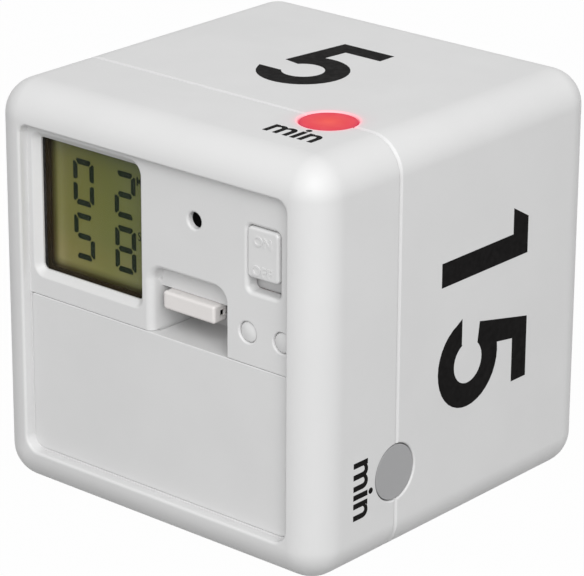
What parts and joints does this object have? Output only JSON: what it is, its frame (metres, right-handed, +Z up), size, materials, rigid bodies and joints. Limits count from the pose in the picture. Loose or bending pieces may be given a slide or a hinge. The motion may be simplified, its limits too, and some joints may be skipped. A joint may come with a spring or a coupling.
{
  "type": "cube timer",
  "caption": "White rounded cube kitchen timer with a number on each side face, a small display, a slide switch, two keys and a battery door on its control face.",
  "frame": {"origin": "middle of the bottom face, the face numbered 30, on which the cube stands with the 5 face up", "axes": "+Z up out of the 5 face, +X out of the 15 face, +Y out of the blank back; the control face with the display and battery door looks along -Y"},
  "size_m": [0.062, 0.062, 0.062],
  "materials": {
    "white_case": "fine satin moulded white plastic",
    "white_control": "fine satin moulded white plastic",
    "white_inner": "plain moulded white plastic",
    "latch_plastic": "smooth warm white plastic",
    "clear_pane": "clear polished plastic pane",
    "black_film": "printed black film",
    "display_glass": "olive polarised display glass",
    "reflector_film": "olive reflector film",
    "strip_rubber": "layered contact rubber",
    "lit_window": "frosted window lit red from behind",
    "grey_window": "frosted grey window",
    "lamp_resin": "pale lamp resin",
    "switch_steel": "pressed switch can",
    "black_plastic": "moulded black plastic",
    "buzzer_brass": "rolled brass disc",
    "buzzer_ceramic": "fired ceramic layer",
    "red_wire": "wire insulation",
    "green_board": "lacquered circuit board",
    "chip_resin": "black potting resin",
    "nickel": "nickel plate",
    "spring_steel": "plated spring wire",
    "screw_steel": "zinc plated screw",
    "cell_wrap": "plain dark cell sleeve, unmarked"
  },
  "bodies": {
    "case": {"front_shell": "white_case", "rear_shell": "white_case", "display_window": "clear_pane", "display_mask": "black_film", "lcd_front_glass": "display_glass", "lcd_rear_glass": "display_glass", "lcd_reflector": "reflector_film", "lcd_holder": "white_inner", "contact_strip_upper": "strip_rubber", "contact_strip_lower": "strip_rubber", "light_window_5": "lit_window", "light_window_15": "grey_window", "light_window_30": "grey_window", "light_window_60": "grey_window", "led_5": "lamp_resin", "led_15": "lamp_resin", "led_30": "lamp_resin", "led_60": "lamp_resin", "slide_switch_body": "switch_steel", "left_key_switch": "switch_steel", "right_key_switch": "switch_steel", "buzzer_plate": "buzzer_brass", "buzzer_ceramic": "buzzer_ceramic", "buzzer_wire_a": "red_wire", "buzzer_wire_b": "black_plastic", "main_board": "green_board", "controller_drop": "chip_resin", "clock_crystal": "nickel", "capacitor": "black_plastic", "tilt_can_a": "nickel", "tilt_can_b": "nickel", "tilt_plug_a": "black_plastic", "tilt_plug_b": "black_plastic", "battery_lower": "cell_wrap", "battery_upper": "cell_wrap", "battery_spring_lower": "spring_steel", "battery_spring_upper": "spring_steel", "bridge_contact": "nickel", "positive_contact": "nickel", "negative_contact": "nickel", "board_screw_1": "screw_steel", "board_screw_2": "screw_steel", "board_screw_3": "screw_steel", "board_screw_4": "screw_steel", "case_screw_left": "screw_steel", "case_screw_right": "screw_steel"},
    "door": {"battery_door": "white_case"},
    "latch": {"door_latch": "latch_plastic"},
    "power_switch": {"power_slider": "white_control", "slide_switch_lever": "black_plastic"},
    "left_key": {"left_button": "white_control", "left_key_plunger": "black_plastic"},
    "right_key": {"right_button": "white_control", "right_key_plunger": "black_plastic"},
    "tilt_ball_left": {"tilt_ball_a": "nickel"},
    "tilt_ball_right": {"tilt_ball_b": "nickel"}
  },
  "joints": [
    {"name": "door_hinge", "type": "hinge", "parent": "case", "child": "door", "pos_m": [0, -0.0294, 0.0061], "axis": [1, 0, 0], "range_deg": [0, 55]},
    {"name": "latch_flex", "type": "hinge", "parent": "door", "child": "latch", "pos_m": [0.00605, -0.02145, 0.0343], "axis": [1, 0, 0], "range_deg": [0, 10], "stiffness_Nm_per_rad": 0.1, "springref_deg": -2.86},
    {"name": "power_slide", "type": "slide", "parent": "case", "child": "power_switch", "axis": [0, 0, 1], "range_m": [-0.0018, 0]},
    {"name": "left_key_press", "type": "slide", "parent": "case", "child": "left_key", "axis": [0, 1, 0], "range_m": [0, 0.0004], "stiffness_N_per_m": 1500},
    {"name": "right_key_press", "type": "slide", "parent": "case", "child": "right_key", "axis": [0, 1, 0], "range_m": [0, 0.0004], "stiffness_N_per_m": 1500},
    {"name": "tilt_ball_left_roll", "type": "slide", "parent": "case", "child": "tilt_ball_left", "axis": [-0.7071, 0, 0.7071], "range_m": [0, 0.0015]},
    {"name": "tilt_ball_right_roll", "type": "slide", "parent": "case", "child": "tilt_ball_right", "axis": [0.7071, 0, 0.7071], "range_m": [0, 0.0015]}
  ]
}
